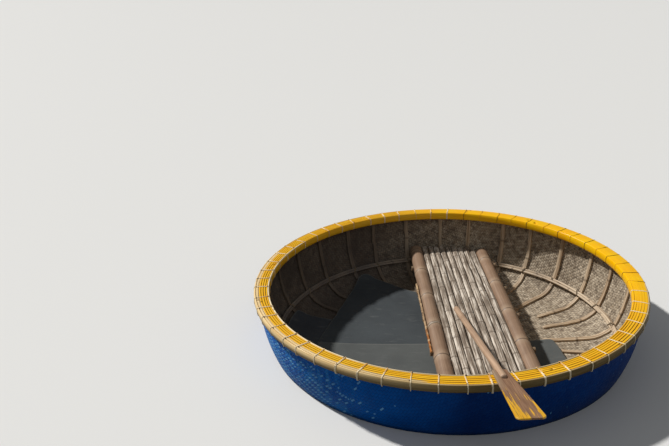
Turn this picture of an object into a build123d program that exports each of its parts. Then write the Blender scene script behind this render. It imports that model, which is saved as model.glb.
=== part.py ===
# Round basket boat of woven split bamboo, modelled as it floats.
# Height zero is the water's surface, the origin is the middle of the waterline,
# and the seat runs along Y. All sizes are in millimetres and angles in degrees.
from build123d import *
from math import asin, atan2, cos, degrees, hypot, radians, sin, sqrt
import os

os.makedirs("parts", exist_ok=True)

# Gap left between pieces that are lashed or laid on each other
seat_gap = 0.3

# Woven hull: upright edge, bowed side, round bilge and a nearly flat bottom
hull_radius = 1075
hull_wall = 9
hull_edge_top = 316
upright_edge = 16
side_bow_radius = 790
bilge_radius = 186
bottom_depth = 135
bottom_bow_radius = 15000

# Rim: a tall hoop inside and one outside, packing between them and flat splits on top.
# Both of its reaches are measured from the hull's outer face.
rim_inside_reach = 66
rim_outside_reach = 25
rim_edge_clearance = 1
inner_hoop_thickness = 12
inner_hoop_height = 46
outer_hoop_thickness = 12
outer_hoop_height = 40
# The outer hoop is bent from a few lengths that butt under lashings
outer_hoop_lengths = 3
outer_hoop_joint = 0.6
first_joint_angle = 59.5
filler_height = 25
# Shares of the cap's width that its strips take: thin ones inside and broad ones outside
cap_strip_shares = [0.8, 0.8, 0.75, 0.85, 1.25, 1.3, 1.25]
cap_strip_gap = 0.6
cap_strip_height = 13
cap_strip_round = 2.5
filler_round = 1
hoop_edge_round = 3
hoop_face_bow = 4

# Ribs: flat splits of bamboo that run down the wall and out over the bottom
rib_count = 29
rib_thickness = 11
first_rib_angle = 147
# Columns: turn from the even spacing, width, radius where the rib ends on the bottom
rib_pattern = [
    (0.0, 26, 610),
    (0.9, 23, 660),
    (-0.6, 28, 590),
    (0.4, 25, 640),
    (-1.1, 22, 675),
]

# Waist hoop: it ties the ribs together at the turn of the bilge, and carries the seat
waist_height = -14
waist_hoop_thickness = 12
waist_hoop_width = 32
# The hoop's two ends lap over each other on this stretch of the circle
lap_start_angle = -8
lap_sweep_angle = 62

# Seat: two thick culms, round rungs through them and half-round slats along them
culm_radius = 44
culm_wall = 9
culm_open_end = 70
culm_node_rise = 3
culm_node_length = 9
seat_left_edge = -22
slat_count = 9
slat_pitch = 41
slat_width = 37
slat_height = 14
slat_top_round = 10
slat_end_round = 12
rung_radius = 16
rung_overhang = 14
rung_clearance = 0.3
rung_places = [-760, -380, 0, 350, 700]
# Columns: how far each slat stops short of the wall at the near end and at the far end
slat_trims = [(14, 6), (30, 12), (8, 20), (24, 4), (12, 26), (34, 10), (10, 18), (26, 8), (16, 24)]
left_culm_nodes = [-800, -455, -110, 245, 600, 930]
right_culm_nodes = [-690, -330, 20, 390, 745]

# Floor mats: three rubber sheets laid over the ribs, the first one lowest
mat_thickness = 4
mat_lap_gap = 0.4
mat_corner_round = 18

# Paddle: a round shaft let into a slotted plank, laid over the near rim and on the seat
paddle_shaft_radius = 17
paddle_length = 1600
paddle_slat = 2
paddle_butt_place = 20
paddle_rim_angle = -84
paddle_butt_round = 5
paddle_end_round = 11
blade_length = 520
blade_root_width = 64
blade_tip_width = 118
blade_root_thickness = 16
blade_tip_thickness = 8
blade_tip_round = 22
blade_edge_round = 2.5
blade_socket = 90
blade_slot_spare = 25
blade_slot_width = 30


# Where the rim lies on the hull's edge
rim_inner_radius = hull_radius - rim_inside_reach
rim_outer_radius = hull_radius + rim_outside_reach
rim_top = hull_edge_top + rim_edge_clearance + cap_strip_height

# The hull's three arcs. Every line parallel to the hull's outer face has the same centres.
side_bow_top = hull_edge_top - upright_edge
side_centre = (hull_radius - side_bow_radius, side_bow_top)
bottom_centre = (0, bottom_bow_radius - bottom_depth)


def meeting_point(first, first_reach, second, second_reach):
    """Lower right point at these distances from two centres."""
    run, rise = second[0] - first[0], second[1] - first[1]
    apart = hypot(run, rise)
    along = (first_reach**2 - second_reach**2 + apart**2) / (2 * apart)
    aside = sqrt(first_reach**2 - along**2)
    return (
        first[0] + (along * run + aside * rise) / apart,
        first[1] + (along * rise - aside * run) / apart,
    )


bilge_centre = meeting_point(
    side_centre, side_bow_radius - bilge_radius, bottom_centre, bottom_bow_radius - bilge_radius
)
side_turn = degrees(atan2(side_centre[1] - bilge_centre[1], bilge_centre[0] - side_centre[0]))
bottom_turn = degrees(atan2(bilge_centre[0], bottom_centre[1] - bilge_centre[1]))


def wall_radius(height, inset):
    """Radius of the line that lies inset from the hull's outer face, at a height on its side."""
    reach = side_bow_radius - inset
    side_end = side_centre[1] - reach * sin(radians(side_turn))
    if height >= side_bow_top:
        return hull_radius - inset
    if height >= side_end:
        return side_centre[0] + sqrt(reach**2 - (side_centre[1] - height) ** 2)
    return bilge_centre[0] + sqrt((bilge_radius - inset) ** 2 - (bilge_centre[1] - height) ** 2)


def bottom_point(inset, radius):
    """Point on the bottom stretch of the line that lies inset from the hull's outer face."""
    reach = bottom_bow_radius - inset
    return (radius, bottom_centre[1] - sqrt(reach**2 - radius**2))


def wall_band(outer_inset, inner_inset, top, end_radius):
    """Face between two lines parallel to the hull's outer face, from the top to the bottom."""
    with BuildSketch() as band:
        with BuildLine():
            for inset in (outer_inset, inner_inset):
                side_reach = side_bow_radius - inset
                bottom_reach = bottom_bow_radius - inset
                top_turn = degrees(asin(max(side_bow_top - top, 0) / side_reach))
                end_turn = degrees(asin(end_radius / bottom_reach))
                if top > side_bow_top:
                    Line((hull_radius - inset, top), (hull_radius - inset, side_bow_top))
                CenterArc(side_centre, side_reach, -top_turn, top_turn - side_turn)
                CenterArc(bilge_centre, bilge_radius - inset, -side_turn, side_turn + bottom_turn - 90)
                CenterArc(bottom_centre, bottom_reach, bottom_turn - 90, end_turn - bottom_turn)
            Line((wall_radius(top, outer_inset), top), (wall_radius(top, inner_inset), top))
            Line(bottom_point(outer_inset, end_radius), bottom_point(inner_inset, end_radius))
        make_face()
    return band.sketch


def upright_plane(angle):
    """Plane that stands on the Z axis and faces along this bearing, with X outward and Y up."""
    outward = (cos(radians(angle)), sin(radians(angle)), 0)
    return Plane((0, 0, 0), x_dir=outward, z_dir=(outward[1], -outward[0], 0))


# Hull: one woven shell, as thick as its weave and coating together
with BuildPart() as hull:
    with BuildSketch(Plane.XZ):
        add(wall_band(0, hull_wall, hull_edge_top, 0))
    revolve(axis=Axis.Z)
hull.part.label = "hull"
export_step(hull.part, "parts/hull.step")


# Ribs: flat splits bent down the wall and over the bottom
rib_face = hull_wall + seat_gap
rib_top = rim_top - cap_strip_height - seat_gap - filler_height - seat_gap
with BuildPart() as ribs:
    for number in range(rib_count):
        turn, width, end_radius = rib_pattern[number % len(rib_pattern)]
        angle = first_rib_angle + number * 360 / rib_count + turn
        with BuildSketch(upright_plane(angle)):
            add(wall_band(rib_face, rib_face + rib_thickness, rib_top, end_radius))
        extrude(amount=width / 2, both=True)
ribs.part.label = "ribs"
export_step(ribs.part, "parts/ribs.step")


# Waist hoop: its section follows the slope of the wall, and its lapped end lies inside it
rib_inside = rib_face + rib_thickness
waist_turn = degrees(asin((bilge_centre[1] - waist_height) / (bilge_radius - rib_inside)))
waist_bow = waist_hoop_width**2 / (8 * (bilge_radius - rib_inside))


def waist_section(layer):
    """Section of the hoop, or of the layer that laps over it."""
    inset = rib_inside + seat_gap + waist_bow + layer * (waist_hoop_thickness + seat_gap)
    reach = bilge_radius - inset - waist_hoop_thickness / 2
    across = bilge_centre[0] + reach * cos(radians(waist_turn))
    up = bilge_centre[1] - reach * sin(radians(waist_turn))
    with BuildSketch() as section:
        with Locations((across, up)):
            Rectangle(waist_hoop_thickness, waist_hoop_width, rotation=-waist_turn)
        fillet(section.vertices(), radius=hoop_edge_round)
    return section.sketch


with BuildPart() as waist_hoop:
    with BuildSketch(Plane.XZ):
        add(waist_section(0))
    revolve(axis=Axis.Z)
    with BuildSketch(upright_plane(lap_start_angle)):
        add(waist_section(1))
    revolve(axis=Axis.Z, revolution_arc=lap_sweep_angle)
waist_hoop.part.label = "waist_hoop"
export_step(waist_hoop.part, "parts/waist_hoop.step")
waist_top = waist_section(0).bounding_box().max.Y


def ring_section(inner_radius, outer_radius, bottom, top, round_radius):
    """Rectangular section of a ring, with its two top edges rounded."""
    with BuildSketch() as section:
        with Locations(((inner_radius + outer_radius) / 2, (bottom + top) / 2)):
            Rectangle(outer_radius - inner_radius, top - bottom)
        fillet(section.vertices().group_by(Axis.Y)[-1], radius=round_radius)
    return section.sketch


def hoop_section(flat_radius, face_radius, bow, height):
    """Section of a split stood on edge under the rim's top, bowed on the side that has its skin."""
    with BuildSketch() as section:
        with BuildLine():
            corners = Polyline(
                (face_radius + bow, rim_top - height),
                (flat_radius, rim_top - height),
                (flat_radius, rim_top),
                (face_radius + bow, rim_top),
            )
            ThreePointArc(corners @ 1, (face_radius, rim_top - height / 2), corners @ 0)
        make_face()
        fillet(section.vertices().group_by(Axis.Y)[-1], radius=hoop_edge_round)
    return section.sketch


# Rim: hoops inside and outside the hull's edge
inner_hoop_outside = rim_inner_radius + inner_hoop_thickness
with BuildPart() as rim_inner_hoop:
    with BuildSketch(Plane.XZ):
        add(hoop_section(inner_hoop_outside, rim_inner_radius, hoop_face_bow, inner_hoop_height))
    revolve(axis=Axis.Z)
rim_inner_hoop.part.label = "rim_inner_hoop"
export_step(rim_inner_hoop.part, "parts/rim_inner_hoop.step")

outer_hoop_inside = rim_outer_radius - outer_hoop_thickness
joint_turn = degrees(outer_hoop_joint / outer_hoop_inside)
length_turn = 360 / outer_hoop_lengths
with BuildPart() as rim_outer_hoop:
    for number in range(outer_hoop_lengths):
        start_angle = first_joint_angle + number * length_turn + joint_turn / 2
        with BuildSketch(upright_plane(start_angle)):
            add(hoop_section(outer_hoop_inside, rim_outer_radius, -hoop_face_bow, outer_hoop_height))
        revolve(axis=Axis.Z, revolution_arc=length_turn - joint_turn)
rim_outer_hoop.part.label = "rim_outer_hoop"
export_step(rim_outer_hoop.part, "parts/rim_outer_hoop.step")


# Rim packing: bundled splits that fill the space on either side of the hull's edge
filler_top = rim_top - cap_strip_height - seat_gap
filler_bottom = filler_top - filler_height
with BuildPart() as rim_filler:
    for inner_radius, outer_radius in (
        (inner_hoop_outside + seat_gap, hull_radius - hull_wall - seat_gap),
        (hull_radius + seat_gap, outer_hoop_inside - seat_gap),
    ):
        with BuildSketch(Plane.XZ):
            add(ring_section(inner_radius, outer_radius, filler_bottom, filler_top, filler_round))
        revolve(axis=Axis.Z)
rim_filler.part.label = "rim_filler"
export_step(rim_filler.part, "parts/rim_filler.step")


# Cap strips: flat splits laid side by side over the hull's edge and the packing
cap_width = outer_hoop_inside - inner_hoop_outside - cap_strip_gap
with BuildPart() as rim_cap:
    strip_inside = inner_hoop_outside + cap_strip_gap
    for share in cap_strip_shares:
        next_strip_inside = strip_inside + cap_width * share / sum(cap_strip_shares)
        strip_outside = next_strip_inside - cap_strip_gap
        with BuildSketch(Plane.XZ):
            strip_bottom = rim_top - cap_strip_height
            add(ring_section(strip_inside, strip_outside, strip_bottom, rim_top, cap_strip_round))
        revolve(axis=Axis.Z)
        strip_inside = next_strip_inside
rim_cap.part.label = "rim_cap"
export_step(rim_cap.part, "parts/rim_cap.step")


# Seat: where its culms and slats lie
culm_height = waist_top + seat_gap + culm_radius
seat_right_edge = seat_left_edge + (slat_count - 1) * slat_pitch + slat_width
culm_reach = wall_radius(waist_top, rib_inside + seat_gap)
slat_reach = wall_radius(culm_height + rung_radius, rib_inside)
slat_bottom = culm_height + rung_radius + seat_gap


def chord_half(reach, across):
    """Half the length of a chord at this distance from the middle."""
    return sqrt(reach**2 - across**2)


# Culms: each has its node rings, its open ends and the holes that the rungs pass through
left_culm_across = seat_left_edge - culm_radius
right_culm_across = seat_right_edge + culm_radius
for name, across, nodes in (
    ("seat_left_culm", left_culm_across, left_culm_nodes),
    ("seat_right_culm", right_culm_across, right_culm_nodes),
):
    half_length = chord_half(culm_reach, abs(across) + culm_radius)
    with BuildPart() as culm:
        with BuildSketch(Plane.YZ.offset(across)):
            with BuildLine():
                outline = [(-half_length, culm_height), (-half_length, culm_height + culm_radius)]
                for place in nodes:
                    outline.append((place - culm_node_length, culm_height + culm_radius))
                    outline.append((place, culm_height + culm_radius + culm_node_rise))
                    outline.append((place + culm_node_length, culm_height + culm_radius))
                outline.append((half_length, culm_height + culm_radius))
                outline.append((half_length, culm_height))
                Polyline(*outline, close=True)
            make_face()
        revolve(axis=Axis((across, 0, culm_height), (0, 1, 0)))
        for end in (-1, 1):
            with BuildSketch(Plane((across, end * half_length, culm_height), z_dir=(0, -end, 0))):
                Circle(culm_radius - culm_wall)
            extrude(amount=culm_open_end, mode=Mode.SUBTRACT)
        with BuildSketch(Plane.YZ.offset(across)):
            with Locations([(place, culm_height) for place in rung_places]):
                Circle(rung_radius + rung_clearance)
        extrude(amount=2 * culm_radius, both=True, mode=Mode.SUBTRACT)
    culm.part.label = name
    export_step(culm.part, f"parts/{name}.step")

# Rungs: round bars through both culms
rung_start = left_culm_across - culm_radius - rung_overhang
rung_end = right_culm_across + culm_radius + rung_overhang
with BuildPart() as seat_rungs:
    with BuildSketch(Plane.YZ.offset(rung_start)):
        with Locations([(place, culm_height) for place in rung_places]):
            Circle(rung_radius)
    extrude(amount=rung_end - rung_start)
seat_rungs.part.label = "seat_rungs"
export_step(seat_rungs.part, "parts/seat_rungs.step")

# Slats: half-round splits, skin side up, with ends cut round
slats = []
for number in range(slat_count):
    near_trim, far_trim = slat_trims[number % len(slat_trims)]
    middle = seat_left_edge + number * slat_pitch + slat_width / 2
    half_length = chord_half(slat_reach, abs(middle) + slat_width / 2)
    near_end = near_trim - half_length
    far_end = half_length - far_trim
    with BuildPart() as slat:
        with BuildSketch(Plane.XZ.offset(-far_end)):
            with Locations((middle, slat_bottom + slat_height / 2)):
                Rectangle(slat_width, slat_height)
            fillet(vertices().group_by(Axis.Y)[-1], radius=slat_top_round)
        extrude(amount=far_end - near_end)
        with BuildSketch(Plane.XY.offset(slat_bottom)):
            with Locations((middle, (near_end + far_end) / 2)):
                RectangleRounded(slat_width, far_end - near_end, slat_end_round)
        extrude(amount=slat_height, mode=Mode.INTERSECT)
    slats.append(slat.part)
with BuildPart() as seat_slats:
    add(slats)
seat_slats.part.label = "seat_slats"
export_step(seat_slats.part, "parts/seat_slats.step")
seat_top = slat_bottom + slat_height


# Mats: each is cut from a layer parallel to the bottom, so it climbs the bilge where it reaches it
mat_layer_top = side_bow_top
# Columns: node name, layer, corner points in plan
mats = [
    ("mat_left", 0, [(-1100, 436), (-560, 240), (-430, -700), (-1100, -700)]),
    ("mat_far", 1, [(-461, 890), (500, 170), (440, -140), (-800, -120)]),
    ("mat_near", 2, [(-760, -10), (640, -50), (700, -760), (-620, -820)]),
]
for name, layer, corners in mats:
    inset = rib_inside + seat_gap + layer * (mat_thickness + mat_lap_gap)
    with BuildPart() as mat:
        with BuildSketch(Plane.XZ):
            add(wall_band(inset, inset + mat_thickness, mat_layer_top, 0))
        revolve(axis=Axis.Z)
        with BuildSketch(Plane.XY.offset(waist_height - waist_hoop_width)) as plan:
            with BuildLine():
                Polyline(*corners, close=True)
            make_face()
            fillet(plan.vertices(), radius=mat_corner_round)
        extrude(amount=-bottom_depth, mode=Mode.INTERSECT)
    mat.part.label = name
    export_step(mat.part, f"parts/{name}.step")


# Paddle: its underside rests on the rounded inner edge of the rim and its butt on one slat
rim_rest_radius = rim_inner_radius + hoop_face_bow + hoop_edge_round
rim_rest = Vector(
    rim_rest_radius * cos(radians(paddle_rim_angle)),
    rim_rest_radius * sin(radians(paddle_rim_angle)),
    rim_top + seat_gap,
)
butt_across = seat_left_edge + paddle_slat * slat_pitch + slat_width / 2
butt_rest = Vector(butt_across, paddle_butt_place, seat_top + seat_gap)
paddle_line = (rim_rest - butt_rest).normalized()
paddle_side = Vector(0, 0, 1).cross(paddle_line).normalized()
paddle_up = paddle_line.cross(paddle_side)
shaft_start = butt_rest + paddle_up * paddle_shaft_radius
shaft_length = paddle_length - blade_length + blade_socket
blade_start = shaft_start + paddle_line * (paddle_length - blade_length)
shaft_plane = Plane(shaft_start, x_dir=paddle_side, z_dir=paddle_line)

with BuildPart() as paddle_shaft:
    with BuildSketch(shaft_plane):
        Circle(paddle_shaft_radius)
    extrude(amount=shaft_length)
    fillet(edges().group_by(Axis(shaft_start, paddle_line))[0], radius=paddle_butt_round)
    fillet(edges().group_by(Axis(shaft_start, paddle_line))[-1], radius=paddle_end_round)
paddle_shaft.part.label = "paddle_shaft"
export_step(paddle_shaft.part, "parts/paddle_shaft.step")

# Blade: the plank widens and thins towards its tip, and its slot is longer than the shaft's end
blade_plane = Plane(blade_start, x_dir=paddle_line, z_dir=paddle_up)
side_plane = Plane(blade_start, x_dir=paddle_line, z_dir=-paddle_side)
with BuildPart() as paddle_blade:
    with BuildSketch(blade_plane) as outline:
        with BuildLine():
            Polyline(
                (0, blade_root_width / 2),
                (blade_length, blade_tip_width / 2),
                (blade_length, -blade_tip_width / 2),
                (0, -blade_root_width / 2),
                close=True,
            )
        make_face()
        fillet(outline.vertices().group_by(Axis.X)[-1], radius=blade_tip_round)
    extrude(amount=blade_root_thickness, both=True)
    with BuildSketch(side_plane):
        with BuildLine():
            Polyline(
                (0, blade_root_thickness / 2),
                (blade_length, blade_tip_thickness / 2),
                (blade_length, -blade_tip_thickness / 2),
                (0, -blade_root_thickness / 2),
                close=True,
            )
        make_face()
    extrude(amount=blade_tip_width, both=True, mode=Mode.INTERSECT)
    broad_faces = faces().sort_by(SortBy.AREA)[-2:]
    fillet(broad_faces.edges(), radius=blade_edge_round)
    with BuildSketch(shaft_plane):
        Circle(paddle_shaft_radius + seat_gap)
    extrude(amount=shaft_length, mode=Mode.SUBTRACT)
    with BuildSketch(blade_plane):
        with Locations((blade_socket, 0)):
            SlotOverall(2 * blade_slot_spare, blade_slot_width)
    extrude(amount=blade_root_thickness, both=True, mode=Mode.SUBTRACT)
paddle_blade.part.label = "paddle_blade"
export_step(paddle_blade.part, "parts/paddle_blade.step")
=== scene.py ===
import math
import bmesh
import bpy
import numpy as np
from mathutils import Matrix, Vector, geometry, noise


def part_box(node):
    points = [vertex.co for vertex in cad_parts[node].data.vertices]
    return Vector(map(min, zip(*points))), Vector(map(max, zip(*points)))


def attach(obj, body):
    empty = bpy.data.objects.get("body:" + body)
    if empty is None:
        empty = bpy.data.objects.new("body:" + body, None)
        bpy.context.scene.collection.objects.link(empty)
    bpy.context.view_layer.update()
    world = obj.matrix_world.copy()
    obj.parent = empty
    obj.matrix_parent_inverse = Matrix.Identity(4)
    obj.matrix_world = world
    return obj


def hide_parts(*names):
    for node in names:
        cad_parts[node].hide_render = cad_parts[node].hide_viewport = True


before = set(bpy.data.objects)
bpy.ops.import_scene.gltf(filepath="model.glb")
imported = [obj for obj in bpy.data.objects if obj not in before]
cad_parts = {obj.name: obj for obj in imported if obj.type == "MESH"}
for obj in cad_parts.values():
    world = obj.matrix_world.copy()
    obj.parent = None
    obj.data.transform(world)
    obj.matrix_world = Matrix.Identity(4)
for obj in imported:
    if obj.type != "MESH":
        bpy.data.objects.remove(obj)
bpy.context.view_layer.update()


# Camera: it stands above the near side of the boat, as the photograph's viewer does,
# looking down on the open well, with the horizon tipped a little.
camera_place = (-0.525, -3.738, 2.158)
camera_heading = math.radians(1.45)
camera_drop = math.radians(21.54)
camera_roll = math.radians(-2.67)
camera = bpy.data.objects.new("camera", bpy.data.cameras.new("camera"))
camera.data.sensor_width = 36
camera.data.lens = 38.45
camera.matrix_world = (
    Matrix.Translation(camera_place)
    @ Matrix.Rotation(camera_heading, 4, "Z")
    @ Matrix.Rotation(math.pi / 2 - camera_drop, 4, "X")
    @ Matrix.Rotation(camera_roll, 4, "Z")
)
bpy.context.scene.collection.objects.link(camera)
bpy.context.scene.camera = camera


# Floor and light: a pale floor lies at the waterline, with a round hole that the hull
# fills. One broad lamp stands where the sun did, and the world fills the shade.
def colour(red, green, blue):
    """Colour as it shows on a screen, from 0 to 255, as the linear values that Blender takes."""
    shares = [value / 255 for value in (red, green, blue)]
    return [s / 12.92 if s <= 0.04045 else ((s + 0.055) / 1.055) ** 2.4 for s in shares] + [1]


def sums(operation, turned=False):
    """Function that adds the node of one sum to the tree of its terms."""

    def total(*terms):
        terms = terms[::-1] if turned else terms
        return made(tree_of(terms), "ShaderNodeMath", dict(enumerate(terms)), operation=operation)

    return total


class Term:
    """What a node gives out. It stands in sums like a number, and each sign adds a node."""

    __add__, __radd__ = sums("ADD"), sums("ADD", True)
    __sub__, __rsub__ = sums("SUBTRACT"), sums("SUBTRACT", True)
    __mul__, __rmul__ = sums("MULTIPLY"), sums("MULTIPLY", True)
    __truediv__, __pow__ = sums("DIVIDE"), sums("POWER")
    __gt__, __lt__, __abs__ = sums("GREATER_THAN"), sums("LESS_THAN"), sums("ABSOLUTE")

    def __init__(self, socket):
        self.socket = socket


def tree_of(terms):
    """Tree of the first term among these."""
    return next(term.socket.id_data for term in terms if isinstance(term, Term))


def add_node(tree, kind, inputs=None, **settings):
    """Add a node to a tree, with its inputs linked or filled in by name or number."""
    node = tree.nodes.new(kind)
    for name, value in settings.items():
        setattr(node, name, value)
    for key, value in (inputs or {}).items():
        if isinstance(value, Term):
            tree.links.new(value.socket, node.inputs[key])
        else:
            node.inputs[key].default_value = value
    return node


def made(tree, kind, inputs=None, output=0, **settings):
    """What a new node gives out."""
    return Term(add_node(tree, kind, inputs, **settings).outputs[output])


def tint(share, *ends):
    """Colour between two others, each a term or its red, green and blue on a screen."""
    first, second = [colour(*end) if isinstance(end, tuple) else end for end in ends]
    return made(tree_of([share]), "ShaderNodeMix", {0: share, 6: first, 7: second}, 2, data_type="RGBA")


def new_material(name, roughness, settings=None):
    """Material and its tree, with the plain values set on the shader itself."""
    material = bpy.data.materials.new(name)
    material.use_nodes = True
    tree = material.node_tree
    tree.nodes.clear()
    shader = made(tree, "ShaderNodeBsdfPrincipled", {"Roughness": roughness, **(settings or {})})
    add_node(tree, "ShaderNodeOutputMaterial", {"Surface": shader})
    return material, tree


def coat(material, shade, relief=None, depth=0.0, roughness=None):
    """The material with its colour and, where it has them, its relief in metres and uneven roughness."""
    tree = material.node_tree
    found = {"Base Color": shade, "Roughness": roughness}
    if relief:
        found["Normal"] = made(tree, "ShaderNodeBump", {"Height": relief, "Distance": depth})
    for label, term in found.items():
        if term:
            tree.links.new(term.socket, tree.nodes["Principled BSDF"].inputs[label])
    return material


def placed(name, shape):
    """Object in the scene with this shape for its mesh."""
    item = bpy.data.objects.new(name, bpy.data.meshes.new(name))
    shape.to_mesh(item.data)
    shape.free()
    bpy.context.scene.collection.objects.link(item)
    return item


floor_hole = 1.0125
floor_rings = [floor_hole, 1.1, 1.4, 2.5, 6, 20, 80]
floor_corners = 144
floor_mesh = bmesh.new()
rings = []
for reach in floor_rings:
    turns = [2 * math.pi * step / floor_corners for step in range(floor_corners)]
    rings.append([floor_mesh.verts.new((reach * math.cos(t), reach * math.sin(t), 0)) for t in turns])
for inner, outer in zip(rings, rings[1:]):
    for step in range(floor_corners):
        after = (step + 1) % floor_corners
        floor_mesh.faces.new((inner[step], outer[step], outer[after], inner[after]))
floor = placed("floor", floor_mesh)
material, tree = new_material("pale floor", 0.85)
ray = add_node(tree, "ShaderNodeLightPath").outputs
rays = ("Is Camera Ray", "Is Glossy Ray", "Is Transmission Ray")
seen, mirrored, through = [Term(ray[name]) for name in rays]
seen = made(tree, "ShaderNodeMath", {0: seen + mirrored, 1: through}, operation="ADD", use_clamp=True)
floor.data.materials.append(coat(material, tint(seen, (96, 98, 100), (226, 226, 224))))


def add_sun(name, bearing, height, strength, width, shade):
    """Lamp as wide as this that shines from a bearing and a height, all in degrees."""
    lamp = bpy.data.lights.new(name, "SUN")
    lamp.energy = strength
    lamp.angle = math.radians(width)
    lamp.color = shade
    stand = bpy.data.objects.new(name, lamp)
    turn, rise = math.radians(bearing), math.radians(height)
    away = Vector((math.cos(turn) * math.cos(rise), math.sin(turn) * math.cos(rise), math.sin(rise)))
    stand.rotation_mode = "QUATERNION"
    stand.rotation_quaternion = away.to_track_quat("Z", "Y")
    bpy.context.scene.collection.objects.link(stand)


add_sun("key lamp", 150, 46, 3.5, 3.0, (1.0, 0.98, 0.95))
add_sun("fill lamp", -70, 35, 0.15, 60, (0.95, 0.97, 1.0))
world = bpy.data.worlds.new("studio")
bpy.context.scene.world = world
world.use_nodes = True
world.node_tree.nodes["Background"].inputs["Color"].default_value = (0.93, 0.96, 1.0, 1)
world.node_tree.nodes["Background"].inputs["Strength"].default_value = 0.18
bpy.context.scene.view_settings.view_transform = "Standard"


# Hull: one basket of bamboo splits in a two-over two-under twill, painted blue outside
# and left bare inside. The flat weave is pressed into a bowl, so the splits climb its sides.
hull_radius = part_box("hull")[1].x
hull_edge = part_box("hull")[1].z
hull_depth = -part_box("hull")[0].z
hull_wall = 0.009
side_bow_top = 0.300
side_bow_radius = 0.790
bilge_radius = 0.186
bottom_bow_radius = 15.0
bottom_steps, bend_steps = 60, 24
split_pitch = 0.015
wall_lumps = 0.0013
weave_turn = math.radians(20)
sunny_bearing = math.radians(212)


# Sums that have no sign of their own.
whole, fract, square_root, sign = map(sums, ("FLOOR", "FRACT", "SQRT", "SIGN"))
cosine, sine, bearing_of = map(sums, ("COSINE", "SINE", "ARCTAN2"))
larger, smaller = map(sums, ("MAXIMUM", "MINIMUM"))


def wall_line(inset=0.0):
    """Radius and height along the hull, at a depth in its wall, from the bottom's middle to the edge."""
    side = Vector((hull_radius - side_bow_radius, side_bow_top))
    bottom = Vector((0, bottom_bow_radius - hull_depth))
    near, far = side_bow_radius - bilge_radius, bottom_bow_radius - bilge_radius
    apart = bottom - side
    along = (near**2 - far**2 + apart.length_squared) / (2 * apart.length)
    aside = math.sqrt(near**2 - along**2)
    ahead = apart.normalized()
    bilge = side + ahead * along + Vector((ahead.y, -ahead.x)) * aside
    side_turn = math.atan2(bilge.x - side.x, side.y - bilge.y)
    bottom_turn = math.asin(bilge.x / far)
    points = []
    for centre, reach, start, end, steps in (
        (bottom, bottom_bow_radius, 0, bottom_turn, bottom_steps),
        (bilge, bilge_radius, bottom_turn, side_turn, bend_steps),
        (side, side_bow_radius, side_turn, math.pi / 2, bend_steps),
    ):
        for turn in np.linspace(start, end, steps + 1)[1 if points else 0 :]:
            held = reach - inset
            points.append((centre.x + held * math.sin(turn), centre.y - held * math.cos(turn)))
    points.append((hull_radius - inset, hull_edge))
    return np.array(points)


def curve_of(name, points):
    """Straight-run curve object through these points."""
    line = bpy.data.curves.new(name, "CURVE")
    line.dimensions = "3D"
    spline = line.splines.new("POLY")
    spline.points.add(len(points) - 1)
    for point, place in zip(spline.points, points):
        point.co = (*place, 1)
    guide = bpy.data.objects.new(name, line)
    bpy.context.scene.collection.objects.link(guide)
    return guide


def new_tree(name, **labels):
    """Empty geometry tree with named inputs of each kind, and what they give."""
    tree = bpy.data.node_groups.new(name, "GeometryNodeTree")
    sockets = [("INPUT", "Geometry", "Geometry"), ("OUTPUT", "Geometry", "Geometry")]
    sockets += [("INPUT", kind, label) for kind in labels for label in labels[kind].split(", ")]
    for way, kind, label in sockets:
        tree.interface.new_socket(label, in_out=way, socket_type="NodeSocket" + kind)
    return tree, {socket.name: Term(socket) for socket in tree.nodes.new("NodeGroupInput").outputs}


def grow(name, tree, rows=(), columns="", places=None, **values):
    """Plain mesh of what a tree makes of loose points that carry the columns of their rows."""
    points = bpy.data.meshes.new(name + " points")
    points.from_pydata(places or [(0, 0, 0)] * len(rows), [], [])
    for number, column in enumerate(columns.split()):
        carried = points.attributes.new(column, "FLOAT", "POINT")
        carried.data.foreach_set("value", [float(row[number]) for row in rows])
    piece = bpy.data.objects.new(name, points)
    bpy.context.scene.collection.objects.link(piece)
    maker = piece.modifiers.new(tree.name, "NODES")
    maker.node_group = tree
    for label, value in values.items():
        maker[tree.interface.items_tree[label.replace("_", " ")].identifier] = value
    graph = bpy.context.evaluated_depsgraph_get()
    grown = piece.evaluated_get(graph)
    grown = bpy.data.meshes.new_from_object(grown, preserve_all_data_layers=True, depsgraph=graph)
    piece.modifiers.remove(maker)
    grown.name = name
    piece.data = grown
    return piece


def twill(along, across, pitch, squareness):
    """Height of the top split from 0 to 1, and whether that one runs along, for any kind of tree."""
    columns, rows = along / pitch, across / pitch
    heights = []
    for run, count, start in ((columns, rows, 1), (rows, columns, 3)):
        wave = cosine((run + whole(count) - start) * (math.pi / 2))
        heights.append(wave * (1 - abs(fract(count) * 2 - 1) ** squareness))
    return larger(larger(*heights), 0), heights[0] > heights[1]


def split_vector(vector):
    """The three parts of a vector."""
    parts = add_node(tree_of([vector]), "ShaderNodeSeparateXYZ", {0: vector}).outputs
    return [Term(part) for part in parts]


def join_vector(*parts):
    """A vector from up to three parts."""
    return made(tree_of(parts), "ShaderNodeCombineXYZ", dict(enumerate(parts)))


def store_map(geometry, name, vector):
    """Keep a vector as a UV map."""
    kept = {"Geometry": geometry, "Name": name, "Value": vector}
    kind = "GeometryNodeStoreNamedAttribute"
    return made(tree_of([geometry]), kind, kept, data_type="FLOAT2", domain="CORNER")


def round_place(bearing, reach, level, aside=0.0):
    """Place on a bearing: how far from the middle of the boat, how high and how far aside."""
    east, north = cosine(bearing), sine(bearing)
    return join_vector(reach * east - aside * north, reach * north + aside * east, level)


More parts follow.
